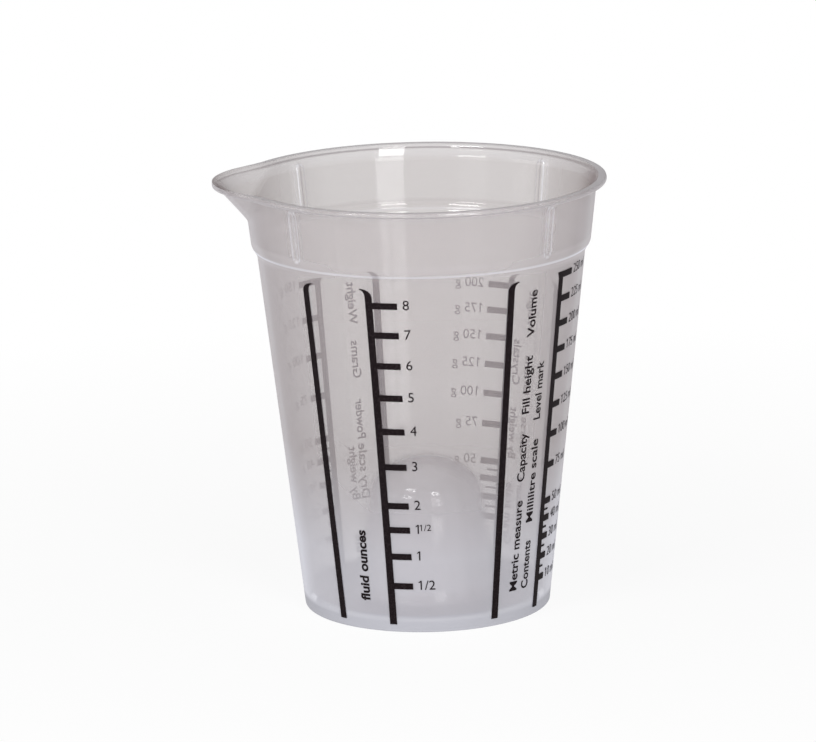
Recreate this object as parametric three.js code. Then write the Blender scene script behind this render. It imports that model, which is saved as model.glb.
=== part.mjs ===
// A 250 ml measuring jug: one moulded cup of clear polypropylene with four printed scales.
// Millimetres, +Z up. The jug stands on z = 0, its spout points along -X, and azimuths are
// degrees round the cup's axis, from the front (-Y) towards +X.
import * as THREE from 'three';

// Cup: overall sizes
const jugHeight = 103;
const lipRadius = 43.9; // outer edge of the out-turned lip
const lipThickness = 1.2;
const collarTopRadius = 41.6; // outside of the collar, under the lip
const collarFootRadius = 40.0;
const wallTopRadius = 38.7; // outside of the tapered wall, under the step
const wallTopHeight = 85.7;
const stepHeight = 2.0; // from the wall's top to the collar's foot
const wallFootRadius = 29.2; // the wall's line carried down to z = 0
const wallThickness = 1.2;
const ledgeLift = 0.65; // the inside of the step lies this much higher than an even wall puts it
const mouthBevelHeight = 2.9; // the inside flares over this height, up to the lip's flat top
const mouthBevelReach = 1.2;

// Cup: base and inner dome
const floorTopHeight = 3.2; // inside, where the liquid starts
const floorThickness = 1.2;
const footRingWidth = 2.4;
const domeFootRadius = 16.85;
const domeShoulderRadius = 14.1;
const domeShoulderHeight = 25.7;
const domeTopHeight = 36.0;

// Cup: rounded corners
const baseCornerRound = 0.6;
const ringInnerRound = 0.5;
const stepRound = 0.7;
const lipRound = 0.55;
const mouthRound = 0.7;
const floorRound = 2.2;
const domeFootRound = 1.4;

// Cup: pouring spout
const spoutAzimuth = -90;
const spoutReach = 48.9; // from the axis to the tip of the lip
const spoutTipRadius = 23.3; // of the lip's outline, seen from above
const spoutLipOverhang = 1.2; // the lip beyond the wall, at the tip
const spoutFootShare = 0.39; // how far up the collar the spout starts
const spoutFlare = 1.1; // power of the underside's curve: 1 is straight
const spoutBlend = 2.6;

// Cup: four stacking flutes pressed into the collar
const fluteAzimuths = [-136.5, -44.2, 44.2, 136.5]; // measured from the spout
const fluteWidth = 3.0;
const fluteSideWidth = 0.7; // of each sloping side, within the flute's width
const fluteDepth = 0.35;
const fluteFootGap = 1.0; // plain collar left over the step
const fluteTopGap = 0.5; // plain collar left under the lip

// Printed scales: thin films of ink, just clear of the wall
const inkThickness = 0.12;
const inkGap = 0.08;
const barWidth = 1.65;
const tickThickness = 1.5;
const minorTickThickness = 0.45;
const minorTickShare = 0.62;
const hookRise = 1.9; // height of the bend at a bar's top
const hookReach = 1.2; // of its point, beyond the bar's side
const hookTipThickness = 0.25;
const spurReach = 0.5; // of the corner left where the topmost tick is the bar's end
const endTickMargin = 0.3; // a tick this close under the bend takes its place
const barFootHeight = 2.0;
const liquidBarDrop = 1.5; // from the wall's top down to the bars' tops
const dryBarDrop = 12.9;
const fullMarkDrop = 2.35; // from the wall's top down to the highest millilitre mark

// What the marks stand for, in millilitres
const fullMillilitres = 250;
const ounceMillilitres = 29.5735;
const sugarGramsPerMillilitre = 1.028;
const flourGramsPerMillilitre = 0.729;
const dryLevelDrop = 2; // the dry scales start this much lower than the liquid ones

// Fineness of the facets
const wallStep = 6; // degrees
const spoutStep = 3;
const spoutSpread = 36; // either side of the spout
const cornerSteps = 2;
const capSteps = 5;
const spoutRows = 4;
const columnGap = 1; // degrees, the least between a flute's edge and the next column
const volumeSlices = 240;
const tickSteps = 3;
const hookSteps = 4;

const radians = THREE.MathUtils.degToRad;
const lipUnderside = jugHeight - lipThickness;
const collarFootHeight = wallTopHeight + stepHeight;
const spoutFootHeight = THREE.MathUtils.lerp(collarFootHeight, lipUnderside, spoutFootShare);
const floorUnderside = floorTopHeight - floorThickness;
const wallSlope = (wallTopRadius - wallFootRadius) / wallTopHeight;
const collarSlope = (collarTopRadius - collarFootRadius) / (lipUnderside - collarFootHeight);
const fluteFootHeight = collarFootHeight + fluteFootGap;
const fluteTopHeight = lipUnderside - fluteTopGap;
const axisOffset = (spoutReach - lipRadius) / 2; // sets the middle of the footprint's box at x = 0

const wallRadiusAt = (z) => wallFootRadius + wallSlope * z;
const collarRadiusAt = (z) => collarFootRadius + collarSlope * (z - collarFootHeight);

// The larger of two values, with a fillet of the given size where they are nearly equal.
function smoothMax(a, b, fillet) {
  if (fillet <= 0) return Math.max(a, b);
  const closeness = Math.max(fillet - Math.abs(a - b), 0) / fillet;
  return Math.max(a, b) + (closeness * closeness * fillet) / 4;
}

// The spout seen from above at one height: a circle whose far side is at reach, joined to the
// round body. Returns the radius of the outline at an angle from the spout.
function spoutOutline(bodyRadius, reach, tipRadius, fillet, angle) {
  const centre = reach - tipRadius;
  const across = tipRadius ** 2 - (centre * Math.sin(angle)) ** 2;
  if (Math.cos(angle) <= 0 || across <= 0) return bodyRadius;
  const tip = centre * Math.cos(angle) + Math.sqrt(across);
  return smoothMax(bodyRadius, tip, fillet);
}

// How far the spout pulls the collar's wall outwards at a height.
function spoutPull(z, angle) {
  const rise = (z - spoutFootHeight) / (lipUnderside - spoutFootHeight);
  if (rise <= 0) return 0;
  const body = collarRadiusAt(z);
  const overhang = (spoutReach - spoutLipOverhang - collarTopRadius) * rise ** spoutFlare;
  const tipRadius = (spoutTipRadius - spoutLipOverhang) * Math.sqrt(Math.min(rise, 1));
  const fillet = spoutBlend * Math.min(rise, 1);
  return spoutOutline(body, body + overhang, tipRadius, fillet, angle) - body;
}

const lipPull = (angle) =>
  spoutOutline(lipRadius, spoutReach, spoutTipRadius, spoutBlend, angle) - lipRadius;

// How far a flute presses the collar inwards: a flat groove with round ends. Its depth depends on
// the distance from the flute's middle line, and its sides are S-curves.
function flutePress(z, angle) {
  const half = fluteWidth / 2;
  const beyondEnd = Math.max(fluteFootHeight + half - z, z - (fluteTopHeight - half), 0);
  let press = 0;
  for (const azimuth of fluteAzimuths) {
    const away = Math.atan2(Math.sin(angle - radians(azimuth)), Math.cos(angle - radians(azimuth)));
    const distance = Math.hypot(away * collarRadiusAt(z), beyondEnd);
    press += fluteDepth * (1 - THREE.MathUtils.smoothstep(distance, half - fluteSideWidth, half));
  }
  return press;
}

// The radius of the cup's surface at a profile point, turned to an azimuth.
function surfaceRadius(point, azimuth) {
  if (point.y < wallTopHeight) return point.x;
  const angle = radians(azimuth - spoutAzimuth);
  const body = collarRadiusAt(point.y);
  const towardsLip = THREE.MathUtils.clamp((point.x - body) / (lipRadius - body), 0, 1);
  const wallMove = spoutPull(point.y, angle) - flutePress(point.y, angle);
  return point.x + THREE.MathUtils.lerp(wallMove, lipPull(angle), towardsLip);
}

// A profile corner: radius, height and the size of its rounding.
const corner = (r, z, round = 0) => ({ at: new THREE.Vector2(r, z), round });

// The same corners moved sideways by a distance, to the left of the direction of travel.
function offsetCorners(corners, distance) {
  return corners.map(({ at }, i) => {
    const before = corners[Math.max(i - 1, 0)].at;
    const after = corners[Math.min(i + 1, corners.length - 1)].at;
    const into = i > 0 ? at.clone().sub(before).normalize() : after.clone().sub(at).normalize();
    const out = i < corners.length - 1 ? after.clone().sub(at).normalize() : into.clone();
    const left = new THREE.Vector2(-(into.y + out.y), into.x + out.x).normalize();
    const square = new THREE.Vector2(-into.y, into.x);
    const moved = at.clone().addScaledVector(left, distance / left.dot(square));
    return corner(moved.x, moved.y, corners[i].round);
  });
}

// Turns corners into points, each rounded corner into a short curve.
function roundedPath(corners, steps) {
  const points = [];
  corners.forEach(({ at, round }, i) => {
    if (!round) {
      points.push(at);
      return;
    }
    const before = corners[i - 1].at;
    const after = corners[i + 1].at;
    const reach = Math.min(round, before.distanceTo(at) / 2, after.distanceTo(at) / 2);
    const start = at.clone().addScaledVector(before.clone().sub(at).normalize(), reach);
    const end = at.clone().addScaledVector(after.clone().sub(at).normalize(), reach);
    points.push(...new THREE.QuadraticBezierCurve(start, at, end).getPoints(steps));
  });
  return points;
}

// The dome's rounded cap, from its shoulder up to the axis.
function capPoints(shoulderRadius, topHeight) {
  const cap = new THREE.EllipseCurve(0, domeShoulderHeight, shoulderRadius,
    topHeight - domeShoulderHeight, 0, Math.PI / 2);
  return cap.getPoints(capSteps).map((p) => corner(Math.max(p.x, 0), p.y));
}

// Rows up the straight stretch of the collar, between two heights, where the spout and the ends of
// the flutes bend it.
function collarCorners(offset, low, high) {
  const half = fluteWidth / 2;
  const rows = [fluteFootHeight, fluteFootHeight + half, fluteTopHeight - half, fluteTopHeight];
  for (let i = 0; i < spoutRows; i += 1) {
    rows.push(THREE.MathUtils.lerp(spoutFootHeight, lipUnderside - lipRound, i / spoutRows));
  }
  return rows
    .filter((z) => z > low && z < high)
    .sort((a, b) => a - b)
    .map((z) => corner(collarRadiusAt(z) - offset, z));
}

// The cup's section from the middle of the hollow under the dome, out over the foot ring, up the
// outside, over the lip, down the inside and up over the dome.
function cupProfile() {
  const outside = [
    corner(wallFootRadius, 0, baseCornerRound),
    corner(wallTopRadius, wallTopHeight, stepRound),
    corner(collarFootRadius, collarFootHeight, stepRound),
    corner(collarTopRadius, lipUnderside, lipRound),
  ];
  const inside = offsetCorners(outside, wallThickness);
  inside[1].at.add(new THREE.Vector2(ledgeLift * wallSlope, ledgeLift));
  inside[2].at.add(new THREE.Vector2(ledgeLift * collarSlope, ledgeLift));
  const collarOffset = outside[3].at.x - inside[3].at.x - collarSlope * (outside[3].at.y - inside[3].at.y);
  const slantedWall = wallThickness * Math.hypot(1, wallSlope);
  const hollowCap = capPoints(domeShoulderRadius - wallThickness, domeTopHeight - wallThickness);
  const domeCap = capPoints(domeShoulderRadius, domeTopHeight);
  const ringInner = wallFootRadius - baseCornerRound - footRingWidth;
  const bevelFoot = jugHeight - mouthBevelHeight;
  const bevelFootRadius = collarRadiusAt(bevelFoot) - collarOffset;
  return roundedPath([
    ...hollowCap.reverse(),
    corner(domeFootRadius - wallThickness, floorUnderside, domeFootRound),
    corner(ringInner, floorUnderside),
    corner(ringInner, 0, ringInnerRound),
    ...outside.slice(0, 3),
    ...collarCorners(0, collarFootHeight + stepRound, lipUnderside - lipRound),
    outside[3],
    corner(lipRadius, lipUnderside, lipRound),
    corner(lipRadius, jugHeight, lipRound),
    corner(bevelFootRadius + mouthBevelReach, jugHeight, mouthRound),
    corner(bevelFootRadius, bevelFoot, mouthRound),
    ...collarCorners(collarOffset, inside[2].at.y + stepRound, bevelFoot - mouthRound).reverse(),
    ...inside.slice(1, 3).reverse(),
    corner(wallRadiusAt(floorTopHeight) - slantedWall, floorTopHeight, floorRound),
    corner(domeFootRadius, floorTopHeight, domeFootRound),
    ...domeCap,
  ], cornerSteps);
}

// Azimuths of the cup's columns: even steps, finer at the spout, and enough across each flute.
function cupAzimuths() {
  const azimuths = new Set();
  for (let a = 0; a < 360; a += wallStep) {
    const away = Math.abs(((a - spoutAzimuth + 540) % 360) - 180);
    if (away > spoutSpread) azimuths.add(a);
  }
  for (let a = -spoutSpread; a <= spoutSpread; a += spoutStep) azimuths.add((a + spoutAzimuth + 360) % 360);
  const fluteHalf = THREE.MathUtils.radToDeg(fluteWidth / 2 / collarFootRadius);
  const floorShare = 1 - (2 * fluteSideWidth) / fluteWidth;
  for (const azimuth of fluteAzimuths) {
    const middle = (azimuth + spoutAzimuth + 720) % 360;
    for (const a of [...azimuths]) if (Math.abs(a - middle) < fluteHalf + columnGap) azimuths.delete(a);
    for (const share of [-1, -floorShare, floorShare, 1]) azimuths.add(middle + share * fluteHalf);
  }
  return [...azimuths].sort((a, b) => a - b);
}

// A closed surface swept round the axis: one column of points for each azimuth, and one shared
// point where the profile meets the axis at its start and at its end.
function sweptGeometry(profile, azimuths, radiusAt) {
  const rows = profile.slice(1, -1);
  const positions = [0, 0, profile[0].y, 0, 0, profile[profile.length - 1].y];
  for (const azimuth of azimuths) {
    for (const point of rows) {
      const r = radiusAt(point, azimuth);
      positions.push(r * Math.sin(radians(azimuth)), -r * Math.cos(radians(azimuth)), point.y);
    }
  }
  const index = [];
  const at = (column, row) => 2 + (column % azimuths.length) * rows.length + row;
  for (let c = 0; c < azimuths.length; c += 1) {
    index.push(0, at(c + 1, 0), at(c, 0));
    for (let r = 0; r + 1 < rows.length; r += 1) {
      index.push(at(c, r), at(c + 1, r + 1), at(c, r + 1));
      index.push(at(c, r), at(c + 1, r), at(c + 1, r + 1));
    }
    index.push(1, at(c, rows.length - 1), at(c + 1, rows.length - 1));
  }
  return bufferGeometry(positions, index);
}

function bufferGeometry(positions, index) {
  const geometry = new THREE.BufferGeometry();
  geometry.setAttribute('position', new THREE.Float32BufferAttribute(positions, 3));
  geometry.setIndex(index);
  geometry.computeVertexNormals();
  return geometry;
}

// Millilitres held up to a height, by slices: the wall's inside less the dome's outside.
function volumeTo(height) {
  const thick = (height - floorTopHeight) / volumeSlices;
  const slantedWall = wallThickness * Math.hypot(1, wallSlope);
  let volume = 0;
  for (let i = 0; i < volumeSlices; i += 1) {
    const z = floorTopHeight + (i + 0.5) * thick;
    const up = z - floorTopHeight;
    const filletIn = up < floorRound ? ((floorRound - up) ** 2) / (2 * floorRound) : 0;
    const inner = wallRadiusAt(z) - slantedWall - filletIn / 2;
    const dome = domeRadiusAt(z);
    volume += Math.PI * (inner * inner - dome * dome) * thick;
  }
  return volume / 1000;
}

function domeRadiusAt(z) {
  if (z >= domeTopHeight) return 0;
  if (z > domeShoulderHeight) {
    const up = (z - domeShoulderHeight) / (domeTopHeight - domeShoulderHeight);
    return domeShoulderRadius * Math.sqrt(1 - up * up);
  }
  const up = (z - floorTopHeight) / (domeShoulderHeight - floorTopHeight);
  return THREE.MathUtils.lerp(domeFootRadius, domeShoulderRadius, up);
}

const fullVolume = volumeTo(wallTopHeight - fullMarkDrop);

// The height of a volume's mark, by halving, with the highest mark at its own place.
function heightOf(millilitres) {
  const volume = (fullVolume * millilitres) / fullMillilitres;
  let low = floorTopHeight;
  let high = wallTopHeight;
  for (let i = 0; i < 30; i += 1) {
    const middle = (low + high) / 2;
    if (volumeTo(middle) < volume) low = middle;
    else high = middle;
  }
  return (low + high) / 2;
}

// A flat sheet of four-sided faces, in millimetres: across to the right of the bar's middle
// line, and height.
class Sheet {
  constructor() {
    this.points = [];
    this.faces = [];
  }

  point(across, z) {
    this.points.push([across, z]);
    return this.points.length - 1;
  }

  face(a, b, c, d) {
    this.faces.push([a, b, c, d]);
  }
}

// Lays a strip up the bar, with its top end bent over to one side (1 is right, -1 is left) and
// drawn to a point, and hangs the ticks on its right edge. A tick that reaches into the bend
// becomes the bar's end instead, and leaves only a small spur on the other side.
function scaleSheet(foot, top, hookSide, ticks) {
  const sheet = new Sheet();
  const half = barWidth / 2;
  const bendHeight = top - hookRise;
  const highest = Math.max(...ticks.map(upperEdge), foot);
  const endsInTick = highest > bendHeight - endTickMargin;
  const levels = [foot, ...ticks.flatMap((tick) => [lowerEdge(tick), upperEdge(tick)])];
  if (!endsInTick) levels.push(bendHeight);
  let row = [sheet.point(-half, levels[0]), sheet.point(half, levels[0])];
  const rightPoints = new Map();
  for (const z of levels.slice(1)) {
    const spur = endsInTick && z === highest ? spurReach : 0;
    const next = [sheet.point(-half - spur, z), sheet.point(half, z)];
    sheet.face(row[0], row[1], next[1], next[0]);
    row = next;
    rightPoints.set(z, row[1]);
  }
  if (!endsInTick) addHook(sheet, row, bendHeight, hookSide);
  for (const tick of ticks) addTick(sheet, half, tick, rightPoints);
  return sheet;
}

// The bend at the top of a bar: both edges are quarter ellipses that meet at the tip.
function addHook(sheet, start, bendHeight, side) {
  let row = start;
  const half = barWidth / 2;
  for (let i = 1; i <= hookSteps; i += 1) {
    const turn = (i / hookSteps) * (Math.PI / 2);
    const swing = 1 - Math.cos(turn);
    const rise = Math.sin(turn);
    const outer = sheet.point(side * ((barWidth + hookReach) * swing - half), bendHeight + hookRise * rise);
    const innerHeight = bendHeight + (hookRise - hookTipThickness) * rise;
    const inner = sheet.point(side * (half + hookReach * swing), innerHeight);
    const next = side > 0 ? [outer, inner] : [inner, outer];
    sheet.face(row[0], row[1], next[1], next[0]);
    row = next;
  }
}

// A tick from the bar's right edge, in steps so that it bends round the wall.
function addTick(sheet, half, tick, rightPoints) {
  const levels = [lowerEdge(tick), upperEdge(tick)];
  let column = levels.map((level) => rightPoints.get(level));
  for (let i = 1; i <= tickSteps; i += 1) {
    const across = half + (radians(tick.angle) * wallRadiusAt(tick.z) * i) / tickSteps;
    const next = levels.map((level) => sheet.point(across, level));
    sheet.face(column[0], next[0], next[1], column[1]);
    column = next;
  }
}

const lowerEdge = (tick) => tick.z - tick.thickness / 2;
const upperEdge = (tick) => tick.z + tick.thickness / 2;

// Wraps a sheet on the wall and gives it the ink's thickness. The bar's middle line runs from one
// azimuth at z = 0 to another at the top of the wall.
function inkGeometry(sheet, footAzimuth, topAzimuth) {
  const positions = [];
  for (const lift of [inkGap, inkGap + inkThickness]) {
    for (const [across, z] of sheet.points) {
      const r = wallRadiusAt(z);
      const middle = THREE.MathUtils.lerp(footAzimuth, topAzimuth, z / wallTopHeight);
      const angle = radians(middle) + across / r;
      positions.push((r + lift) * Math.sin(angle), -(r + lift) * Math.cos(angle), z);
    }
  }
  const index = [];
  const outer = sheet.points.length;
  const edges = new Map();
  for (const face of sheet.faces) {
    const [a, b, c, d] = face;
    index.push(outer + a, outer + b, outer + c, outer + a, outer + c, outer + d);
    index.push(a, c, b, a, d, c);
    face.forEach((from, i) => edges.set(`${from},${face[(i + 1) % 4]}`, [from, face[(i + 1) % 4]]));
  }
  for (const [from, to] of edges.values()) {
    if (edges.has(`${to},${from}`)) continue;
    index.push(from, to, outer + to, from, outer + to, outer + from);
  }
  return bufferGeometry(positions, index);
}

// A scale's ticks, from the lowest up: long thick ones, and short thin ones between them. Their
// length is an angle, between its values at z = 0 and at the top of the wall.
function ticksAt(majorVolumes, minorVolumes, [footAngle, topAngle]) {
  const tick = (millilitres, share, thickness) => {
    const z = heightOf(millilitres);
    return { z, thickness, angle: share * THREE.MathUtils.lerp(footAngle, topAngle, z / wallTopHeight) };
  };
  return [
    ...majorVolumes.map((volume) => tick(volume, 1, tickThickness)),
    ...minorVolumes.map((volume) => tick(volume, minorTickShare, minorTickThickness)),
  ].sort((a, b) => a.z - b.z);
}

const byMass = (density) => (grams) => grams / density - dryLevelDrop;
const sugarVolume = byMass(sugarGramsPerMillilitre);
const flourVolume = byMass(flourGramsPerMillilitre);

const fluidOunces = [0.5, 1, 1.5, 2, 3, 4, 5, 6, 7, 8];
const millilitres = [10, 20, 30, 40, 50, 75, 100, 125, 150, 175, 200, 225, 250];
const sugarGrams = [20, 30, 40, 50, 75, 100, 125, 150, 175, 200];
const flourGrams = [10, 20, 30, 40, 50, 75, 100, 125, 150];
const smallSteps = [15, 25, 35, 45];

// Each printed block: the azimuths of its plain border and of its ticked bar, at z = 0 and at the
// top of the wall, and its ticks.
const blocks = [
  {
    name: 'fluid_ounce',
    border: [-42.0, -44.2],
    scale: [-15.8, -18.9],
    top: wallTopHeight - liquidBarDrop,
    ticks: ticksAt(fluidOunces.map((ounces) => ounces * ounceMillilitres), [], [8.3, 8.8]),
  },
  {
    name: 'millilitre',
    border: [31.8, 32.5],
    scale: [58.5, 57.1],
    top: wallTopHeight - liquidBarDrop,
    ticks: ticksAt(millilitres, smallSteps, [4.1, 6.6]),
  },
  {
    name: 'sugar',
    border: [118.2, 120.5],
    scale: [146.0, 143.8],
    top: wallTopHeight - dryBarDrop,
    ticks: ticksAt(sugarGrams.map(sugarVolume), smallSteps.slice(1).map(sugarVolume), [8.4, 8.6]),
  },
  {
    name: 'flour',
    border: [196.8, 197.7],
    scale: [223.9, 222.2],
    top: wallTopHeight - dryBarDrop,
    ticks: ticksAt(flourGrams.map(flourVolume), smallSteps.map(flourVolume), [8.3, 8.7]),
  },
];

const plastic = new THREE.MeshStandardMaterial({ color: 0xd9d8dc, roughness: 0.28, metalness: 0 });
const ink = new THREE.MeshStandardMaterial({ color: 0x1f1a1d, roughness: 0.55, metalness: 0 });

function named(name, geometry, material) {
  const mesh = new THREE.Mesh(geometry, material.clone());
  mesh.name = name;
  return mesh;
}

const jug = new THREE.Group();
jug.position.x = axisOffset;
jug.add(named('cup_body', sweptGeometry(cupProfile(), cupAzimuths(), surfaceRadius), plastic));
for (const { name, border, scale, top, ticks } of blocks) {
  const borderSheet = scaleSheet(barFootHeight, top, 1, []);
  const tickedSheet = scaleSheet(barFootHeight, top, -1, ticks);
  jug.add(named(`${name}_border`, inkGeometry(borderSheet, ...border), ink));
  jug.add(named(`${name}_scale`, inkGeometry(tickedSheet, ...scale), ink));
}

export default jug;
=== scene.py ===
# A 250 ml measuring jug of natural polypropylene with printed scales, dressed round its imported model.
# Metres, +Z up. The spout points along -X, and azimuths are degrees round the cup's axis,
# from the front (-Y) towards +X.
import math
import bmesh
import bpy
import numpy as np
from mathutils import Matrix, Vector


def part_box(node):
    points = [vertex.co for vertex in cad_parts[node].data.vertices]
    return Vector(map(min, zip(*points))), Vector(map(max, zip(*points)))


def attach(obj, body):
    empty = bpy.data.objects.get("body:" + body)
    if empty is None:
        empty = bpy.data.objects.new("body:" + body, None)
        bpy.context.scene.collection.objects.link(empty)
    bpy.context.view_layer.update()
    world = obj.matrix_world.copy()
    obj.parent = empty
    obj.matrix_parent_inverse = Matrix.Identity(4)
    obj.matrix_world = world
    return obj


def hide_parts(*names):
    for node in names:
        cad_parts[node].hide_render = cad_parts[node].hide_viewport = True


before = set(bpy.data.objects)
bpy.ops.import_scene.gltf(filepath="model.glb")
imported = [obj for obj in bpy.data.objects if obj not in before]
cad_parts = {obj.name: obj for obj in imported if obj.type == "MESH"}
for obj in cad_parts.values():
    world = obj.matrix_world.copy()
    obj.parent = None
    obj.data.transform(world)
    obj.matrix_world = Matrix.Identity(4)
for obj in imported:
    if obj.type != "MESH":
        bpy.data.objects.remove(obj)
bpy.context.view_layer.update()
print("frame loaded:", len(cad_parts), "nodes")

# Where the cup stands, from the frame
cupLow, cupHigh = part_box("cup_body")
lipRadius = (cupHigh.y - cupLow.y) / 2
axisX = cupHigh.x - lipRadius
jugHeight = cupHigh.z

cup = dict(
    lipThickness=0.0012,
    collarTopRadius=0.0416,
    collarFootRadius=0.0400,
    wallTopRadius=0.0387,
    wallTopHeight=0.0857,
    stepHeight=0.0020,
    wallFootRadius=0.0292,
    wallThickness=0.0012,
    floorTopHeight=0.0032,
    floorThickness=0.0012,
    footRingWidth=0.0024,
    domeFootRadius=0.01685,
    domeShoulderRadius=0.0141,
    domeShoulderHeight=0.0257,
    domeTopHeight=0.0360,
    baseCornerRound=0.0006,
    ringInnerRound=0.0005,
    stepRound=0.0007,
    lipRound=0.00055,
    mouthRound=0.0007,
    mouthBevelHeight=0.0029,  # the inside flares over this height, up to the lip's flat top
    mouthBevelReach=0.0012,
    ledgeLift=0.00065,        # how much higher the step's inner ledge lies than an even wall would put it
    floorRound=0.0022,
    domeFootRound=0.0014,
    rowSpacing=0.0024,        # longest straight stretch between two rows
    collarSpacing=0.0006,     # the same up the collar, where the spout and the flutes are
    collarSpacingDrop=0.001,  # and from this far under its foot
    roundSteps=6,
    capSteps=18,
    columnStep=1.5,           # degrees
    fluteColumnStep=0.25,
    leastColumnShare=0.4,     # of a column step: an even column this close to a flute's fine ones goes
)
spout = dict(azimuth=-90, reach=cupHigh.x - cupLow.x - lipRadius, tipRadius=0.0233, lipOverhang=0.0012,
             footShare=0.39, flare=1.1, blend=0.0026)
flutes = dict(azimuths=(-136.5, -44.2, 44.2, 136.5), width=0.0030, sideWidth=0.0007, depth=0.00035,
              footGap=0.0010, topGap=0.0005)

lipUnderside = jugHeight - cup["lipThickness"]
collarFootHeight = cup["wallTopHeight"] + cup["stepHeight"]
spoutFootHeight = collarFootHeight + (lipUnderside - collarFootHeight) * spout["footShare"]
wallSlope = (cup["wallTopRadius"] - cup["wallFootRadius"]) / cup["wallTopHeight"]
collarSlope = (cup["collarTopRadius"] - cup["collarFootRadius"]) / (lipUnderside - collarFootHeight)


def wallRadius(z):
    return cup["wallFootRadius"] + wallSlope * z


def collarRadius(z):
    return cup["collarFootRadius"] + collarSlope * (z - collarFootHeight)


def smoothStep(x, low, high):
    # 0 below low, 1 above high, and an S-curve 3t^2 - 2t^3 between them
    t = np.clip((x - low) / (high - low), 0, 1)
    return t * t * (3 - 2 * t)


def smoothMax(a, b, fillet):
    # the larger of two values, plus fillet * closeness^2 / 4 where they are nearly equal
    closeness = np.clip(fillet - np.abs(a - b), 0, None) / np.maximum(fillet, 1e-9)
    return np.maximum(a, b) + closeness**2 * fillet / 4


def spoutOutline(body, reach, tipRadius, fillet, angle):
    # radius at an angle from the spout: a circle of tipRadius whose far side is at reach, joined to the body
    centre = reach - tipRadius
    across = tipRadius**2 - (centre * np.sin(angle)) ** 2
    tip = centre * np.cos(angle) + np.sqrt(np.clip(across, 0, None))
    return np.where((np.cos(angle) <= 0) | (across <= 0), body, smoothMax(body, tip, fillet))


def spoutPull(z, angle):
    # how far the spout draws the collar out: nothing at its foot, the whole overhang under the lip
    rise = np.clip((z - spoutFootHeight) / (lipUnderside - spoutFootHeight), 0, None)
    body = collarRadius(z)
    overhang = (spout["reach"] - spout["lipOverhang"] - cup["collarTopRadius"]) * rise ** spout["flare"]
    tipRadius = (spout["tipRadius"] - spout["lipOverhang"]) * np.sqrt(np.minimum(rise, 1))
    outline = spoutOutline(body, body + overhang, tipRadius, spout["blend"] * np.minimum(rise, 1), angle)
    return np.where(rise > 0, outline - body, 0)


def flutePress(z, angle):
    # how far the flutes press the collar in: a flat groove with round ends and S-curved sides, whose depth
    # depends on the distance from the flute's middle line
    half = flutes["width"] / 2
    low = collarFootHeight + flutes["footGap"] + half
    high = lipUnderside - flutes["topGap"] - half
    beyondEnd = np.maximum(np.maximum(low - z, z - high), 0)
    press = 0
    for azimuth in flutes["azimuths"]:
        away = (angle - math.radians(azimuth) + math.pi) % (2 * math.pi) - math.pi
        distance = np.hypot(away * collarRadius(z), beyondEnd)
        press = press + flutes["depth"] * (1 - smoothStep(distance, half - flutes["sideWidth"], half))
    return press


def fluteSide(z, angle):
    # 1 halfway down a flute's side, 0 on the plain collar and on the flute's floor: 4 s (1 - s)
    s = flutePress(z, angle) / flutes["depth"]
    return 4 * s * (1 - s)


def cupRadius(r, z, azimuth):
    # the profile's radius plus the collar's moves, blended into the lip's outline towards the lip
    angle = np.radians(azimuth - spout["azimuth"])
    body = collarRadius(z)
    towardsLip = np.clip((r - body) / (lipRadius - body), 0, 1)
    lipPull = spoutOutline(lipRadius, spout["reach"], spout["tipRadius"], spout["blend"], angle) - lipRadius
    move = (spoutPull(z, angle) - flutePress(z, angle)) * (1 - towardsLip) + lipPull * towardsLip
    return r + np.where(z >= cup["wallTopHeight"], move, 0)


def offsetLine(points, distance):
    # the corners of an open line moved to its left, each along the bisector of its two sides
    sides = np.diff(points, axis=0)
    sides = sides / np.linalg.norm(sides, axis=1)[:, None]
    before = np.vstack([sides[:1], sides])
    after = np.vstack([sides, sides[-1:]])
    left = np.stack([-(before + after)[:, 1], (before + after)[:, 0]], axis=1)
    left = left / np.linalg.norm(left, axis=1)[:, None]
    square = np.stack([-before[:, 1], before[:, 0]], axis=1)
    return points + left * (distance / (left * square).sum(axis=1))[:, None]


def roundedPath(corners, steps):
    # each corner (radius, height, round) becomes the curve (1-t)^2 start + 2t(1-t) corner + t^2 end
    stretches = []
    t = np.linspace(0, 1, steps + 1)[:, None]
    for i, (r, z, reach) in enumerate(corners):
        at = np.array([r, z])
        if not reach:
            stretches.append(at[None])
            continue
        before = np.array(corners[i - 1][:2]) - at
        after = np.array(corners[i + 1][:2]) - at
        reach = min(reach, np.linalg.norm(before) / 2, np.linalg.norm(after) / 2)
        start = at + before / np.linalg.norm(before) * reach
        end = at + after / np.linalg.norm(after) * reach
        stretches.append((1 - t) ** 2 * start + 2 * t * (1 - t) * at + t**2 * end)
    return np.vstack(stretches)


def filled(path):
    # adds even rows to the long straight stretches, closer together up the collar
    lengths = np.linalg.norm(np.diff(path, axis=0), axis=1)
    onCollar = path[:, 1] > collarFootHeight - cup["collarSpacingDrop"]
    spacing = np.where(onCollar[1:] & onCollar[:-1], cup["collarSpacing"], cup["rowSpacing"])
    counts = np.maximum(np.ceil(lengths / spacing).astype(int), 1)
    along = np.concatenate([i + np.arange(n) / n for i, n in enumerate(counts)] + [[len(lengths)]])
    whole = np.arange(len(path))
    return np.stack([np.interp(along, whole, path[:, 0]), np.interp(along, whole, path[:, 1])], axis=1)


def domeCap(shoulderRadius, topHeight):
    # a quarter ellipse from the dome's shoulder up to the axis
    turn = np.linspace(0, math.pi / 2, cup["capSteps"] + 1)
    r = shoulderRadius * np.cos(turn)
    r[-1] = 0
    z = cup["domeShoulderHeight"] + (topHeight - cup["domeShoulderHeight"]) * np.sin(turn)
    return [(a, b, 0) for a, b in zip(r, z)]


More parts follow.
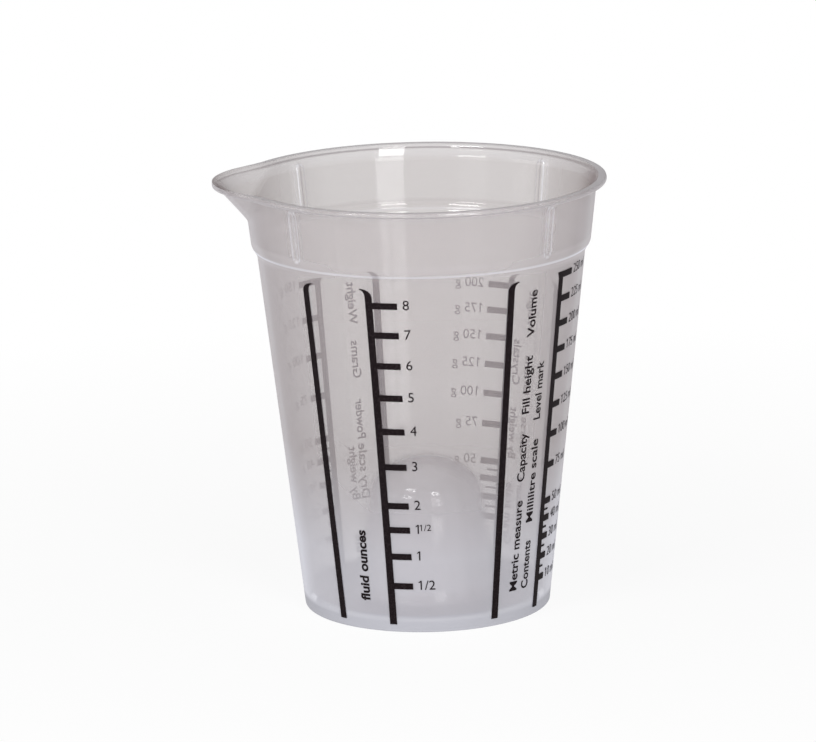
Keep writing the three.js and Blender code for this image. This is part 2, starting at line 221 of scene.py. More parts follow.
def cupProfile():
    # from the hollow under the dome, over the foot ring, up the outside, over the lip and down the inside
    thick = cup["wallThickness"]
    outside = np.array([
        (cup["wallFootRadius"], 0),
        (cup["wallTopRadius"], cup["wallTopHeight"]),
        (cup["collarFootRadius"], collarFootHeight),
        (cup["collarTopRadius"], lipUnderside),
    ])
    inside = offsetLine(outside, thick)
    topGap = outside[3] - inside[3]
    inside[1:3] += cup["ledgeLift"] * np.array([(wallSlope, 1), (collarSlope, 1)])
    bevelFoot = jugHeight - cup["mouthBevelHeight"]
    bevelFootRadius = collarRadius(bevelFoot) - (topGap[0] - collarSlope * topGap[1])
    floorRadius = wallRadius(cup["floorTopHeight"]) - thick * math.hypot(1, wallSlope)
    underside = cup["floorTopHeight"] - cup["floorThickness"]
    ringInner = cup["wallFootRadius"] - cup["baseCornerRound"] - cup["footRingWidth"]
    corners = [
        *domeCap(cup["domeShoulderRadius"] - thick, cup["domeTopHeight"] - thick)[::-1],
        (cup["domeFootRadius"] - thick, underside, cup["domeFootRound"]),
        (ringInner, underside, 0),
        (ringInner, 0, cup["ringInnerRound"]),
        (*outside[0], cup["baseCornerRound"]),
        (*outside[1], cup["stepRound"]),
        (*outside[2], cup["stepRound"]),
        (*outside[3], cup["lipRound"]),
        (lipRadius, lipUnderside, cup["lipRound"]),
        (lipRadius, jugHeight, cup["lipRound"]),
        (bevelFootRadius + cup["mouthBevelReach"], jugHeight, cup["mouthRound"]),
        (bevelFootRadius, bevelFoot, cup["mouthRound"]),
        (*inside[2], cup["stepRound"]),
        (*inside[1], cup["stepRound"]),
        (floorRadius, cup["floorTopHeight"], cup["floorRound"]),
        (cup["domeFootRadius"], cup["floorTopHeight"], cup["domeFootRound"]),
        *domeCap(cup["domeShoulderRadius"], cup["domeTopHeight"]),
    ]
    return filled(roundedPath(corners, cup["roundSteps"]))


def cupAzimuths():
    # even steps, with finer ones across each flute
    coarse = np.arange(0, 360, cup["columnStep"])
    half = math.degrees(flutes["width"] / 2 / cup["collarFootRadius"])
    middles = (np.array(flutes["azimuths"]) + spout["azimuth"]) % 360
    away = np.abs((coarse[:, None] - middles + 180) % 360 - 180).min(axis=1)
    across = np.arange(-half, half + 1e-6, cup["fluteColumnStep"])  # with the last column too
    fine = (middles[:, None] + across).ravel() % 360
    clear = away > half + cup["leastColumnShare"] * cup["columnStep"]
    return np.sort(np.concatenate([coarse[clear], fine]))


def meshPoints(mesh):
    points = np.empty(len(mesh.vertices) * 3)
    mesh.vertices.foreach_get("co", points)
    return points.reshape(-1, 3)


def meshPiece(name, points, faces, smooth):
    mesh = bpy.data.meshes.new(name)
    mesh.from_pydata(points.tolist(), [], faces)
    mesh.validate()
    mesh.polygons.foreach_set("use_smooth", np.full(len(mesh.polygons), smooth))
    mesh.update()
    piece = bpy.data.objects.new(name, mesh)
    bpy.context.scene.collection.objects.link(piece)
    return piece


def addAttribute(piece, name, values):
    piece.data.attributes.new(name, "FLOAT", "POINT")
    piece.data.attributes[name].data.foreach_set("value", values.astype(np.float32))


def sweptPiece(name, profile, azimuths):
    # the profile turned round the axis: x = axis + R sin a, y = -R cos a, with one shared point at each pole
    rows = profile[1:-1]
    r, z = rows[:, 0][:, None], rows[:, 1][:, None]
    azimuth = azimuths[None, :]
    radius = cupRadius(r, z, azimuth)
    turned = np.radians(azimuth)
    grid = np.stack([axisX + radius * np.sin(turned), -radius * np.cos(turned), z + 0 * radius], axis=2)
    poles = np.array([[axisX, 0, profile[0, 1]], [axisX, 0, profile[-1, 1]]])
    index = np.arange(grid.shape[0] * grid.shape[1]).reshape(grid.shape[:2]) + 2
    beside = np.roll(index, -1, axis=1)
    quads = np.stack([index[:-1], beside[:-1], beside[1:], index[1:]], axis=2).reshape(-1, 4)
    first = np.stack([np.zeros_like(index[0]), beside[0], index[0]], axis=1)
    last = np.stack([index[-1], beside[-1], np.ones_like(index[0])], axis=1)
    points = np.vstack([poles, grid.reshape(-1, 3)])
    piece = meshPiece(name, points, quads.tolist() + first.tolist() + last.tolist(), True)
    side = np.where(z > cup["wallTopHeight"], fluteSide(z, np.radians(azimuth - spout["azimuth"])), 0)
    pastLip = np.arange(len(rows)) > np.flatnonzero(rows[:, 1] == rows[:, 1].max())[-1]
    addAttribute(piece, "fluteSide", np.concatenate([[0, 0], side.ravel()]))
    addAttribute(piece, "innerFace", np.concatenate([[0, 1], np.repeat(pastLip, len(azimuths))]))
    return piece


cupShell = sweptPiece("cup_shell", cupProfile(), cupAzimuths())
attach(cupShell, "root")
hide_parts("cup_body")
print("cup shell made:", len(cupShell.data.polygons), "faces")


# Printed numbers and words: plain measures in the built-in font, bent round the wall
lettering = dict(
    capHeight=0.00225,      # of the numbers' capitals
    wordCapHeight=0.0022,   # and the words'
    capShare=0.682,         # of the font's size
    curveSteps=5,
    gap=0.00008,            # off the wall, as the printed bars
    thickness=0.00002,
    numberGap=0.0013,       # from a tick's end to its number
    numberRise=0.00030,     # of a number's middle over its tick's middle
    fractionShare=0.68,
    fractionGap=0.0002,
    flagReach=0.13,         # the stroke at the top left of a 1, in shares of the font's size
    flagTop=0.682,
    flagDrop=0.11,
    flagWidth=0.085,
    flagOverlap=0.01,       # into the stem
    weldDistance=0.00001,
    leastThickTick=0.0010,  # thinner ticks carry no number
    barShare=1.4,           # a level wider than this many bars is a tick's edge
)


def flatText(text, weight):
    # points (across, up, depth) in shares of the font's size, with depth from 0 to 1, and the faces
    curve = bpy.data.curves.new("text", "FONT")
    curve.body = text
    curve.offset = weight
    curve.extrude = 0.5
    curve.resolution_u = lettering["curveSteps"]
    source = bpy.data.objects.new("text", curve)
    bpy.context.scene.collection.objects.link(source)
    mesh = bpy.data.meshes.new_from_object(source.evaluated_get(bpy.context.evaluated_depsgraph_get()))
    welded = bmesh.new()
    welded.from_mesh(mesh)
    bmesh.ops.remove_doubles(welded, verts=welded.verts, dist=lettering["weldDistance"])
    welded.to_mesh(mesh)
    welded.free()
    points = meshPoints(mesh) + (0, 0, 0.5)
    points[:, 0] -= points[:, 0].min()
    faces = [list(polygon.vertices) for polygon in mesh.polygons]
    bpy.data.meshes.remove(mesh)
    bpy.data.objects.remove(source)
    bpy.data.curves.remove(curve)
    return points, faces


def flaggedOne(flat, faces):
    # the font's 1 is a bare stem, so a text that starts with one gets a slanted stroke from the stem's top
    reach, drop, top = lettering["flagReach"], lettering["flagDrop"], lettering["flagTop"]
    width, overlap = lettering["flagWidth"], lettering["flagOverlap"]
    outline = np.array([(overlap, top), (-reach, top - drop), (-reach, top - drop - width),
                        (overlap, top - width - overlap)])
    corners = np.vstack([np.column_stack([outline, np.full(4, depth)]) for depth in (0, 1)])
    ends = [[3, 2, 1, 0], [4, 5, 6, 7]]
    sides = [[i, (i + 1) % 4, (i + 1) % 4 + 4, i + 4] for i in range(4)]
    added = [[len(flat) + i for i in face] for face in ends + sides]
    return np.vstack([flat, corners]) + (reach, 0, 0), faces + added


def onWall(across, z, depth, azimuths):
    # a point's azimuth is its column's at that height plus across / r, and its radius the wall's plus the ink
    r = wallRadius(z)
    middle = azimuths[0] + (azimuths[1] - azimuths[0]) * z / cup["wallTopHeight"]
    angle = np.radians(middle) + across / r
    out = r + lettering["gap"] + lettering["thickness"] * depth
    return np.stack([axisX + out * np.sin(angle), -out * np.cos(angle), z], axis=1)


def numberPoints(flat, size, left, top, azimuth):
    # upright text from its left edge, with the top of its capitals at a height
    z = top + (flat[:, 1] - lettering["capShare"]) * size
    return onWall(left + flat[:, 0] * size, z, flat[:, 2], (azimuth, azimuth))


def wordPoints(flat, size, low, high, azimuths):
    # text that reads upwards on a baseline, stretched to fill the span between two heights
    z = low + flat[:, 0] * (high - low) / flat[:, 0].max()
    return onWall(-flat[:, 1] * size, z, flat[:, 2], azimuths)


def joinedPiece(name, parts):
    # one mesh of several lots of points and faces
    starts = np.cumsum([0] + [len(points) for points, _ in parts])
    faces = [[i + int(start) for i in face] for start, (_, lot) in zip(starts, parts) for face in lot]
    piece = meshPiece(name, np.vstack([points for points, _ in parts]), faces, False)
    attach(piece, "root")
    return piece


def thickTicks(nodeName):
    # heights of a scale's thick ticks, lowest first, and the azimuths where they end, read off its node
    x, y, z = meshPoints(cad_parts[nodeName].data).T
    middle = math.atan2(np.mean(x - axisX), -np.mean(y))
    angle = (np.arctan2(x - axisX, -y) - middle + math.pi) % (2 * math.pi) - math.pi
    levels, level = np.unique(np.round(z, 6), return_inverse=True)
    right = np.full(len(levels), -np.inf)
    left = np.full(len(levels), np.inf)
    np.maximum.at(right, level, angle)
    np.minimum.at(left, level, angle)
    span = (right - left) * wallRadius(levels)
    edge = span > lettering["barShare"] * span[0]
    pairs = edge.sum() // 2 * 2
    heights = levels[edge][:pairs].reshape(-1, 2)
    ends = right[edge][:pairs].reshape(-1, 2).mean(axis=1)
    thick = heights[:, 1] - heights[:, 0] > lettering["leastThickTick"]
    return heights[thick].mean(axis=1), np.degrees(ends[thick] + middle)


def scaleNumbers(name, scale, weight, labels):
    size = lettering["capHeight"] / lettering["capShare"]
    parts = []
    for label, z, azimuth in zip(labels, *thickTicks(scale)):
        left = lettering["numberGap"]
        top = z + lettering["numberRise"] + lettering["capHeight"] / 2
        for text, share in zip(label, (1, lettering["fractionShare"])):
            flat, faces = flatText(text, weight)
            if text.startswith("1"):
                flat, faces = flaggedOne(flat, faces)
            points = numberPoints(flat, size * share, left, top, azimuth)
            parts.append((points, faces))
            left += flat[:, 0].max() * size * share + lettering["fractionGap"]
    return joinedPiece(name, parts)


def wordColumns(name, columns):
    size = lettering["wordCapHeight"] / lettering["capShare"]
    parts = []
    for column in columns:
        for text, low, high in column["words"]:
            flat, faces = flatText(text, column["weight"])
            parts.append((wordPoints(flat, size, low, high, column["azimuths"]), faces))
    return joinedPiece(name, parts)


# Each scale's node, how far its numbers' strokes swell, in shares of the font's size, and its numbers
numbers = dict(
    ounce_numbers=("fluid_ounce_scale", 0.0,
                   [("1/2",), ("1",), ("1", "1/2")] + [(str(n),) for n in range(2, 9)]),
    millilitre_numbers=("millilitre_scale", -0.01,
                        [(f"{n} ml",) for n in (10, 20, 30, 40, *range(50, 251, 25))]),
    sugar_numbers=("sugar_scale", 0.0, [(f"{n} g",) for n in (20, 30, 40, *range(50, 201, 25))]),
    flour_numbers=("flour_scale", 0.0, [(f"{n} g",) for n in (10, 20, 30, 40, *range(50, 151, 25))]),
)
# Each column: azimuths of its baseline at z = 0 and at the wall's top, and its words from the lowest up
words = dict(
    ounce_label=[
        dict(azimuths=(-26.6, -26.6), weight=0.03, words=[
            ("fluid ounces", 0.0074, 0.0249)]),
    ],
    millilitre_words=[
        dict(azimuths=(43.6, 44.2), weight=0.015, words=[
            ("Metric measure", 0.0079, 0.0301), ("Capacity", 0.0349, 0.0467),
            ("Fill height", 0.0515, 0.0655), ("Volume", 0.0702, 0.0814)]),
        dict(azimuths=(51.0, 50.4), weight=0.015, words=[
            ("Contents", 0.0078, 0.0195), ("Millilitre scale", 0.0242, 0.0445),
            ("Level mark", 0.0494, 0.0635)]),
    ],
    sugar_words=[
        dict(azimuths=(135.4, 135.2), weight=0.015, words=[
            ("Dry measure", 0.0070, 0.0240), ("Coarse", 0.0290, 0.0385),
            ("Grains", 0.0440, 0.0535), ("Weight", 0.0590, 0.0690)]),
        dict(azimuths=(141.8, 141.2), weight=0.015, words=[
            ("Gram scale", 0.0070, 0.0220), ("By weight", 0.0280, 0.0405), ("Crystals", 0.0460, 0.0570)]),
    ],
    flour_words=[
        dict(azimuths=(209.7, 209.4), weight=0.015, words=[
            ("Dry scale", 0.0180, 0.0314), ("Powder", 0.0326, 0.0423),
            ("Grams", 0.0474, 0.0565), ("Weight", 0.0605, 0.0708)]),
        dict(azimuths=(214.7, 214.3), weight=0.015, words=[
            ("Fine", 0.0034, 0.0094), ("By weight", 0.0180, 0.0310)]),
    ],
)
printedPieces = [scaleNumbers(name, *entry) for name, entry in numbers.items()]
printedPieces += [wordColumns(name, columns) for name, columns in words.items()]
print("printing made:", sum(len(piece.data.polygons) for piece in printedPieces), "faces")


# Shader helpers

def newMaterial(name):
    material = bpy.data.materials.new(name)
    material.use_nodes = True
    nodes = material.node_tree.nodes
    nodes.clear()
    surface = nodes.new("ShaderNodeBsdfPrincipled")
    output = nodes.new("ShaderNodeOutputMaterial")
    material.node_tree.links.new(surface.outputs[0], output.inputs["Surface"])
    return material, surface


def rangeNode(tree, value, fromLow, fromHigh, toLow, toHigh):
    node = tree.nodes.new("ShaderNodeMapRange")
    ends = {"From Min": fromLow, "From Max": fromHigh, "To Min": toLow, "To Max": toHigh}
    for socket, number in ends.items():
        node.inputs[socket].default_value = number
    tree.links.new(value, node.inputs["Value"])
    return node.outputs["Result"]


def mixNode(tree, factor, first, second, blend="MIX"):
    node = tree.nodes.new("ShaderNodeMix")
    node.data_type = "RGBA"
    node.blend_type = blend
    factorSocket = next(s for s in node.inputs if s.name == "Factor" and s.type == "VALUE")
    firstSocket, secondSocket = [s for s in node.inputs if s.type == "RGBA"]
    for socket, value in ((factorSocket, factor), (firstSocket, first), (secondSocket, second)):
        if isinstance(value, bpy.types.NodeSocket):
            tree.links.new(value, socket)
        else:
            socket.default_value = value
    return next(s for s in node.outputs if s.type == "RGBA")


def mathNode(tree, operation, first, second):
    node = tree.nodes.new("ShaderNodeMath")
    node.operation = operation
    for socket, value in zip(node.inputs, (first, second)):
        if isinstance(value, bpy.types.NodeSocket):
            tree.links.new(value, socket)
        else:
            socket.default_value = value
    return node.outputs[0]


def grainGroup():
    # noise as a mask from 0 to 1, and a roughness between two values that goes with it
    group = bpy.data.node_groups.new("grain", "ShaderNodeTree")
    group.interface.new_socket("Vector", in_out="INPUT", socket_type="NodeSocketVector")
    for name in ("Scale", "Detail", "Smooth", "Rough"):
        group.interface.new_socket(name, in_out="INPUT", socket_type="NodeSocketFloat")
    for name in ("Mask", "Roughness"):
        group.interface.new_socket(name, in_out="OUTPUT", socket_type="NodeSocketFloat")
    given = group.nodes.new("NodeGroupInput").outputs
    result = group.nodes.new("NodeGroupOutput").inputs
    noise = group.nodes.new("ShaderNodeTexNoise")
    for name in ("Vector", "Scale", "Detail"):
        group.links.new(given[name], noise.inputs[name])
    noiseLow, noiseHigh = 0.3, 0.7  # nearly all of the noise lies between these
    mask = rangeNode(group, noise.outputs["Fac"], noiseLow, noiseHigh, 0, 1)
    span = mathNode(group, "SUBTRACT", given["Rough"], given["Smooth"])
    rough = mathNode(group, "ADD", given["Smooth"], mathNode(group, "MULTIPLY", mask, span))
    group.links.new(mask, result["Mask"])
    group.links.new(rough, result["Roughness"])
    return group


grain = grainGroup()


def grainNode(tree, coordinates, scale, detail, smooth=0, rough=1):
    node = tree.nodes.new("ShaderNodeGroup")
    node.node_tree = grain
    tree.links.new(coordinates, node.inputs["Vector"])
    for name, number in (("Scale", scale), ("Detail", detail), ("Smooth", smooth), ("Rough", rough)):
        node.inputs[name].default_value = number
    return node.outputs


def attributeNode(tree, name):
    node = tree.nodes.new("ShaderNodeAttribute")
    node.attribute_name = name
    return node.outputs["Fac"]


def placeNodes(tree):
    # a point's coordinates, its x and y and distance from the axis, and its height
    coordinates = tree.nodes.new("ShaderNodeTexCoord").outputs["Object"]
    parts = tree.nodes.new("ShaderNodeSeparateXYZ")
    tree.links.new(coordinates, parts.inputs[0])
    x = mathNode(tree, "SUBTRACT", parts.outputs["X"], axisX)
    y = parts.outputs["Y"]
    fromAxis = mathNode(tree, "SQRT", mathNode(tree, "ADD", mathNode(tree, "MULTIPLY", x, x),
                                               mathNode(tree, "MULTIPLY", y, y)), 0)
    return dict(coordinates=coordinates, x=x, y=y, fromAxis=fromAxis, height=parts.outputs["Z"])


plastic = dict(
    lowColour=(0.69, 0.69, 0.76, 1),     # low wall: paler and a little blue, painted light from the bright floor under the jug
    highColour=(0.54, 0.505, 0.525, 1),  # thin wall
    lowHeight=0.018,                     # the base's colour up to here, the thin wall's from highHeight
    highHeight=0.042,
    innerShadeTint=(0.37, 0.23, 0.18, 1),     # painted shade: the inner faces are made darker and warmer
    # painted light: the dome is paler than the wall, making up for the light the walls keep from it
    domeLitColour=(0.84, 0.84, 0.88, 1),
    # painted shade: the floor inside is darker than the low wall, holding down the light it gets through the
    # mouth
    floorShadeColour=(0.60, 0.60, 0.66, 1),
    footColour=(0.41, 0.41, 0.46, 1),    # the foot ring, seen under the floor
    fluteAndStepHighlight=(0.75, 0.75, 0.82, 1),   # painted highlight: lighter on the flutes' sides and in the line at the step
    cloudColour=(0.60, 0.58, 0.62, 1),
    cloudShare=0.22,                     # how far the plastic clouds over towards it, in patches
    cloudScale=35,
    cloudDetail=2,
    facingMilk=0.30,                     # how milky one face of the wall is, seen square on
    grazingMilk=0.37,                    # more, as the face slants from grazingFrom to grazingTo
    grazingFrom=0.15,
    grazingTo=0.85,
    edgeMilk=0.38,                       # and more again from edgeFrom to edge-on
    edgeFrom=0.60,
    innerShare=0.45,                     # how much of grazingMilk and edgeMilk the inner faces have
    innerTop=0.1004,
    innerTopBlend=0.0006,
    lipInner=0.62,                       # the lip over innerTop is this much like an inner face
    domeMilk=0.80,
    domeFootMilk=0.20,                   # more round its foot
    domeFootHeight=0.0160,
    domeFade=0.92,                       # how far the dome fades as it turns away from view
    fadeFrom=0.30,
    fadeTo=0.85,
    domeEdge=0.0185,                     # the dome is within this of the axis
    floorEdge=0.0280,                    # and the floor within this, under floorHeight
    edgeBlend=0.001,
    floorHeight=0.0060,
    lowMilk=0.17,                        # added in the thick wall round the base
    floorMilk=0.20,                      # in the floor
    footMilk=0.42,                       # in the foot ring
    footHeight=0.0042,
    footBlend=0.0016,
    fluteMilk=0.12,                      # on the flutes' sides, showing their painted highlight
    lineMilk=0.06,                       # in the painted highlight line on the step's slope
    lineHeight=0.0871,
    lineWidth=0.0004,
    lineBlend=0.0002,
    stepMilk=0.10,                       # and in a fainter band above it
    stepWidth=0.0018,
    stepBlend=0.0008,
    roughness=0.35,
    roughnessSpread=0.04,
    grainScale=400,
    grainDetail=2,
    ior=1.02,                            # the body hardly reflects: the gloss is all in the coat
    coatFacing=1.0,                      # the coat's weight seen square on, and edge-on
    coatGrazing=0.15,
    coatFrom=0.3,
    coatTo=0.9,
    coatIor=1.9,
    coatRoughness=0.05,
    waviness=0.05,
    waveScale=45,
    waveDetail=1,
    waveHeight=0.001,
)


def bandNode(tree, value, low, high, blendLow, blendHigh):
    # 1 between low and high, which falls to 0 over a stretch before low and after high
    return mathNode(tree, "MULTIPLY", rangeNode(tree, value, low - blendLow, low, 0, 1),
                    rangeNode(tree, value, high, high + blendHigh, 1, 0))


def plasticMasks(tree, place):
    # 1 on the dome, the floor inside the foot ring, the low wall, the foot ring, the line and the band at
    # the step, the inner faces and the flutes' sides. Slant is 0 square on and 1 edge-on
    height, fromAxis = place["height"], place["fromAxis"]
    innerTop, footHeight, floorHeight = plastic["innerTop"], plastic["footHeight"], plastic["floorHeight"]
    underLip = rangeNode(tree, height, innerTop - plastic["innerTopBlend"], innerTop, 1, plastic["lipInner"])
    inner = mathNode(tree, "MULTIPLY", attributeNode(tree, "innerFace"), underLip)
    outer = mathNode(tree, "SUBTRACT", 1, inner)
    dome, inside = [rangeNode(tree, fromAxis, edge - plastic["edgeBlend"], edge, 1, 0)
                    for edge in (plastic["domeEdge"], plastic["floorEdge"])]
    low = rangeNode(tree, height, floorHeight / 2, floorHeight, 1, 0)
    foot = rangeNode(tree, height, footHeight - plastic["footBlend"], footHeight, 1, 0)
    thick = rangeNode(tree, height, plastic["lowHeight"], plastic["highHeight"], 1, 0)
    lineTop = plastic["lineHeight"] + plastic["lineWidth"]
    line = bandNode(tree, height, plastic["lineHeight"], lineTop, plastic["lineBlend"], plastic["lineBlend"])
    step = bandNode(tree, height, lineTop + plastic["lineBlend"], lineTop + plastic["stepWidth"],
                    plastic["lineBlend"], plastic["stepBlend"])
    return dict(dome=dome,
                floor=mathNode(tree, "MULTIPLY", low, inside),
                low=mathNode(tree, "MULTIPLY", thick, outer),
                foot=mathNode(tree, "MULTIPLY", foot, mathNode(tree, "SUBTRACT", 1, inside)),
                line=mathNode(tree, "MULTIPLY", line, outer),
                step=mathNode(tree, "MULTIPLY", step, outer),
                inner=inner,
                flute=attributeNode(tree, "fluteSide"),
                slant=tree.nodes.new("ShaderNodeLayerWeight").outputs["Facing"])


def plasticColour(tree, place, masks):
    # paler and bluer low down: painted light from the floor
    up = rangeNode(tree, place["height"], plastic["lowHeight"], plastic["highHeight"], 0, 1)
    colour = mixNode(tree, up, plastic["lowColour"], plastic["highColour"])
    cloud = grainNode(tree, place["coordinates"], plastic["cloudScale"], plastic["cloudDetail"],
                      0, plastic["cloudShare"])
    colour = mixNode(tree, cloud["Roughness"], colour, plastic["cloudColour"])
    # painted shade on the inner faces
    colour = mixNode(tree, masks["inner"], colour, plastic["innerShadeTint"], "MULTIPLY")
    # painted shade on the floor inside the foot ring
    colour = mixNode(tree, masks["floor"], colour, plastic["floorShadeColour"])
    # painted light on the dome
    domeAlone = mathNode(tree, "MULTIPLY", masks["dome"], mathNode(tree, "SUBTRACT", 1, masks["floor"]))
    colour = mixNode(tree, domeAlone, colour, plastic["domeLitColour"])
    colour = mixNode(tree, masks["foot"], colour, plastic["footColour"])
    # painted highlight on the flutes' sides and the step's line
    light = mathNode(tree, "MAXIMUM", masks["flute"], masks["line"])
    return mixNode(tree, light, colour, plastic["fluteAndStepHighlight"])


def plasticMilk(tree, place, masks):
    # the share of light that a face scatters: the rest goes straight through
    slant, height = masks["slant"], place["height"]
    grazing = rangeNode(tree, slant, plastic["grazingFrom"], plastic["grazingTo"], 0, plastic["grazingMilk"])
    edge = rangeNode(tree, slant, plastic["edgeFrom"], 1, 0, plastic["edgeMilk"])
    faceShare = rangeNode(tree, masks["inner"], 0, 1, 1, plastic["innerShare"])
    wall = mathNode(tree, "MULTIPLY", mathNode(tree, "ADD", grazing, edge), faceShare)
    wall = mathNode(tree, "ADD", plastic["facingMilk"], wall)
    domeUp = rangeNode(tree, height, plastic["floorHeight"], plastic["domeFootHeight"], 0, 1)
    dome = rangeNode(tree, domeUp, 0, 1, plastic["domeMilk"] + plastic["domeFootMilk"], plastic["domeMilk"])
    fade = rangeNode(tree, slant, plastic["fadeFrom"], plastic["fadeTo"], 0, plastic["domeFade"])
    kept = mathNode(tree, "SUBTRACT", 1, mathNode(tree, "MULTIPLY", fade, domeUp))
    dome = mathNode(tree, "MULTIPLY", dome, kept)
    besideDome = mathNode(tree, "SUBTRACT", 1, masks["dome"])
    milk = mathNode(tree, "ADD", mathNode(tree, "MULTIPLY", wall, besideDome),
                    mathNode(tree, "MULTIPLY", dome, masks["dome"]))
    for name in ("low", "floor", "foot", "flute", "line", "step"):
        milk = mathNode(tree, "ADD", milk, mathNode(tree, "MULTIPLY", masks[name], plastic[name + "Milk"]))
    return mathNode(tree, "MINIMUM", milk, 1)


def plasticMaterial():
    material, surface = newMaterial("clearPlastic")
    tree = material.node_tree
    place = placeNodes(tree)
    masks = plasticMasks(tree, place)
    coat = rangeNode(tree, masks["slant"], plastic["coatFrom"], plastic["coatTo"],
                     plastic["coatFacing"], plastic["coatGrazing"])
    fine = grainNode(tree, place["coordinates"], plastic["grainScale"], plastic["grainDetail"],
                     plastic["roughness"] - plastic["roughnessSpread"],
                     plastic["roughness"] + plastic["roughnessSpread"])
    waves = grainNode(tree, place["coordinates"], plastic["waveScale"], plastic["waveDetail"])
    bump = tree.nodes.new("ShaderNodeBump")
    bump.inputs["Strength"].default_value = plastic["waviness"]
    bump.inputs["Distance"].default_value = plastic["waveHeight"]
    tree.links.new(waves["Mask"], bump.inputs["Height"])
    tree.links.new(plasticColour(tree, place, masks), surface.inputs["Base Color"])
    tree.links.new(plasticMilk(tree, place, masks), surface.inputs["Alpha"])
    tree.links.new(fine["Roughness"], surface.inputs["Roughness"])
    tree.links.new(coat, surface.inputs["Coat Weight"])
    tree.links.new(bump.outputs["Normal"], surface.inputs["Normal"])
    surface.inputs["IOR"].default_value = plastic["ior"]
    surface.inputs["Coat IOR"].default_value = plastic["coatIor"]
    surface.inputs["Coat Roughness"].default_value = plastic["coatRoughness"]
    return material


inkLook = dict(colour=(0.010, 0.007, 0.008, 1), wornColour=(0.022, 0.016, 0.018, 1),
               wallSideColour=(0.01, 0.01, 0.08, 1),  # the ink's back, seen through the wall: painted bluish haze, the light the wall scatters
               wallSideBlend=0.01, roughness=0.45, roughnessSpread=0.08, gloss=0.02,
               speckleScale=2500, speckleDetail=2, wornFrom=0.4)


def inkMaterial():
    material, surface = newMaterial("printedInk")
    tree = material.node_tree
    place = placeNodes(tree)
    speckle = grainNode(tree, place["coordinates"], inkLook["speckleScale"], inkLook["speckleDetail"],
                        inkLook["roughness"] - inkLook["roughnessSpread"],
                        inkLook["roughness"] + inkLook["roughnessSpread"])
    worn = rangeNode(tree, speckle["Mask"], inkLook["wornFrom"], 1, 0, 1)
    outerColour = mixNode(tree, worn, inkLook["colour"], inkLook["wornColour"])
    normal = tree.nodes.new("ShaderNodeSeparateXYZ")
    tree.links.new(tree.nodes.new("ShaderNodeTexCoord").outputs["Normal"], normal.inputs[0])
    outward = mathNode(tree, "ADD", mathNode(tree, "MULTIPLY", normal.outputs["X"], place["x"]),
                       mathNode(tree, "MULTIPLY", normal.outputs["Y"], place["y"]))
    # painted haze on the ink's side that faces the wall
    toWall = rangeNode(tree, outward, -inkLook["wallSideBlend"], 0, 1, 0)
    colour = mixNode(tree, toWall, outerColour, inkLook["wallSideColour"])
    tree.links.new(colour, surface.inputs["Base Color"])
    surface.inputs["Specular IOR Level"].default_value = inkLook["gloss"]
    tree.links.new(speckle["Roughness"], surface.inputs["Roughness"])
    return material


cupShell.data.materials.append(plasticMaterial())
inkSurface = inkMaterial()
printedPieces += [node for name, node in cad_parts.items() if name != "cup_body"]
for piece in printedPieces:
    piece.data.materials.clear()
    piece.data.materials.append(inkSurface)
print("materials made")

# Camera, at the photograph's angle
view = dict(location=(0.0025, -1.20156, 0.34125), turn=(76.648, 1.0987, -0.0860), lens=229.84, sensor=36,
            clipStart=0.05)
camera = bpy.data.objects.new("camera", bpy.data.cameras.new("camera"))
bpy.context.scene.collection.objects.link(camera)
camera.location = view["location"]
camera.rotation_euler = [math.radians(a) for a in view["turn"]]
camera.data.sensor_fit = "HORIZONTAL"
camera.data.sensor_width = view["sensor"]
camera.data.lens = view["lens"]
camera.data.clip_start = view["clipStart"]
bpy.context.scene.camera = camera

# Lamps: azimuth from the camera's side towards +X, elevation, width, height and power
lampDistance = 0.7
lamps = [
    dict(name="sideLamp", azimuth=-85, elevation=10, width=0.40, height=0.30, watts=0.42),
    dict(name="leftLamp", azimuth=-38, elevation=24, width=0.24, height=0.09, watts=0.6),
    dict(name="leftFoot", azimuth=-38, elevation=6, width=0.24, height=0.30, watts=0.2),
    dict(name="leftTop", azimuth=-38, elevation=46, width=0.24, height=0.12, watts=1.5),
    dict(name="rightLamp", azimuth=21, elevation=37, width=0.19, height=0.17, watts=1.25),
    dict(name="rightFoot", azimuth=21, elevation=10, width=0.24, height=0.36, watts=1.4),
]


def addLamp(lamp):
    data = bpy.data.lights.new(lamp["name"], "AREA")
    data.shape = "RECTANGLE"
    data.size = lamp["width"]
    data.size_y = lamp["height"]
    data.energy = lamp["watts"]
    lampObject = bpy.data.objects.new(lamp["name"], data)
    bpy.context.scene.collection.objects.link(lampObject)
    a, e = math.radians(lamp["azimuth"]), math.radians(lamp["elevation"])
    towards = Vector((math.sin(a) * math.cos(e), -math.cos(a) * math.cos(e), math.sin(e)))
    lampObject.location = Vector((axisX, 0, jugHeight / 2)) + towards * lampDistance
    lampObject.rotation_euler = towards.to_track_quat("Z", "Y").to_euler()


for lamp in lamps:
    addLamp(lamp)

surroundings = dict(colour=(1, 1, 1, 1), seen=1.0, light=0.1)


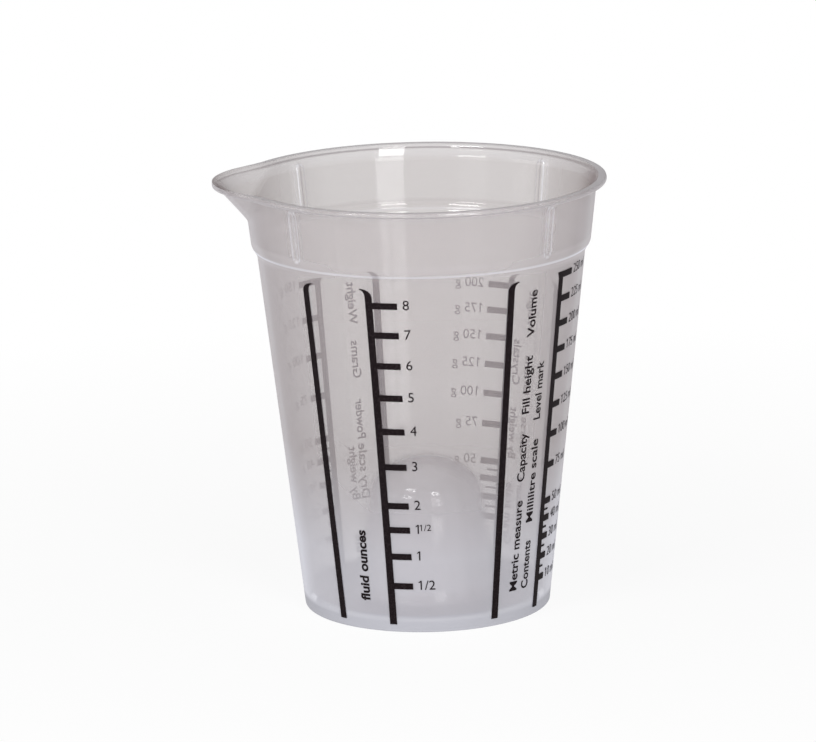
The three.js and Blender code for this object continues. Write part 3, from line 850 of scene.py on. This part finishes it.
def seenOrLight(tree, seen, light):
    # one strength for rays that show the background, another for rays that light the object
    path = tree.nodes.new("ShaderNodeLightPath").outputs
    shown = mathNode(tree, "MAXIMUM", path["Is Camera Ray"], path["Is Glossy Ray"])
    shown = mathNode(tree, "MAXIMUM", shown, path["Is Transmission Ray"])
    return rangeNode(tree, shown, 0, 1, light, seen)


world = bpy.data.worlds.new("studio")
bpy.context.scene.world = world
world.use_nodes = True
background = world.node_tree.nodes["Background"]
background.inputs["Color"].default_value = surroundings["colour"]
strength = seenOrLight(world.node_tree, surroundings["seen"], surroundings["light"])
world.node_tree.links.new(strength, background.inputs["Strength"])

# Floor: white, showing part of the jug's shadow
table = dict(size=3.0, colour=(0.9, 0.9, 0.9, 1), glow=0.92, farGlow=1.0, light=1.0,
             nearReach=0.06, farReach=0.3)
floor = meshPiece("floor", np.array([(-1, -1, 0), (1, -1, 0), (1, 1, 0), (-1, 1, 0)]) * table["size"] / 2,
                  [(0, 1, 2, 3)], False)
floorMaterial = bpy.data.materials.new("floor")
floorMaterial.use_nodes = True
tree = floorMaterial.node_tree
tree.nodes.clear()
diffuse = tree.nodes.new("ShaderNodeBsdfDiffuse")
diffuse.inputs["Color"].default_value = table["colour"]
glow = tree.nodes.new("ShaderNodeEmission")
mixed = tree.nodes.new("ShaderNodeMixShader")
away = tree.nodes.new("ShaderNodeVectorMath")
away.operation = "LENGTH"
tree.links.new(tree.nodes.new("ShaderNodeTexCoord").outputs["Object"], away.inputs[0])
share = rangeNode(tree, away.outputs["Value"], table["nearReach"], table["farReach"],
                  table["glow"], table["farGlow"])
tree.links.new(mathNode(tree, "MULTIPLY", share, seenOrLight(tree, 1, table["light"])), mixed.inputs["Fac"])
tree.links.new(diffuse.outputs[0], mixed.inputs[1])
tree.links.new(glow.outputs[0], mixed.inputs[2])
output = tree.nodes.new("ShaderNodeOutputMaterial")
tree.links.new(mixed.outputs[0], output.inputs["Surface"])
floor.data.materials.append(floorMaterial)
print("camera, lamps and floor placed")

bpy.context.scene.view_settings.view_transform = "Standard"
